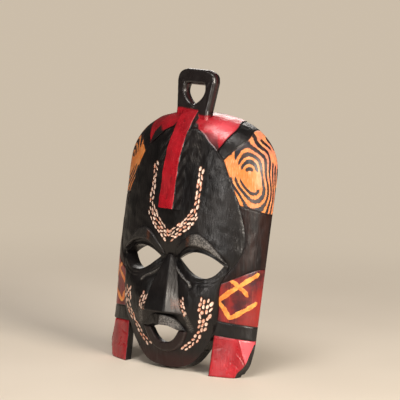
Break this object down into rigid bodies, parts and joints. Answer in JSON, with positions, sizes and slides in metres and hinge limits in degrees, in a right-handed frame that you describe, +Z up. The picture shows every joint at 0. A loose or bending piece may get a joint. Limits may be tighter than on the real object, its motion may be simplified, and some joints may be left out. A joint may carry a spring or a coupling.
{
  "type": "carved wooden face mask",
  "caption": "Carved and painted wooden face mask with crest, hanging loop and chip-cut bands, leaning back on its feet.",
  "frame": {"origin": "centre of the bounding box's base: the soles of the feet are on z = 0", "axes": "+Z up, -Y the way the face looks, +X towards the viewer's right; the mask leans back 8.5 degrees"},
  "size_m": [0.1784, 0.0896, 0.3052],
  "materials": {
    "black_paint": "satin black paint on carved wood, pale wood in the chip cuts",
    "red_paint": "glossy deep red paint on carved wood",
    "zebra_paint": "satin orange paint with black wavy stripes on carved wood",
    "brown_paint": "satin very dark brown paint on carved wood",
    "giraffe_paint": "satin maroon patches with yellow-orange lines on carved wood"
  },
  "bodies": {
    "root": {"ankle_band_left": "black_paint", "ankle_band_right": "black_paint", "brow_ridge_left": "black_paint", "brow_ridge_right": "black_paint", "crown_band_left": "black_paint", "crown_band_right": "black_paint", "crown_cap": "red_paint", "face": "black_paint", "foot_left": "red_paint", "foot_right": "red_paint", "forehead": "black_paint", "forehead_crest": "red_paint", "giraffe_panel_left": "giraffe_paint", "giraffe_panel_right": "giraffe_paint", "hanging_loop": "black_paint", "jaw": "black_paint", "lower_lip": "black_paint", "nose": "black_paint", "side_panel_left": "brown_paint", "side_panel_right": "brown_paint", "upper_lip": "black_paint", "zebra_panel_left": "zebra_paint", "zebra_panel_right": "zebra_paint"}
  },
  "joints": []
}
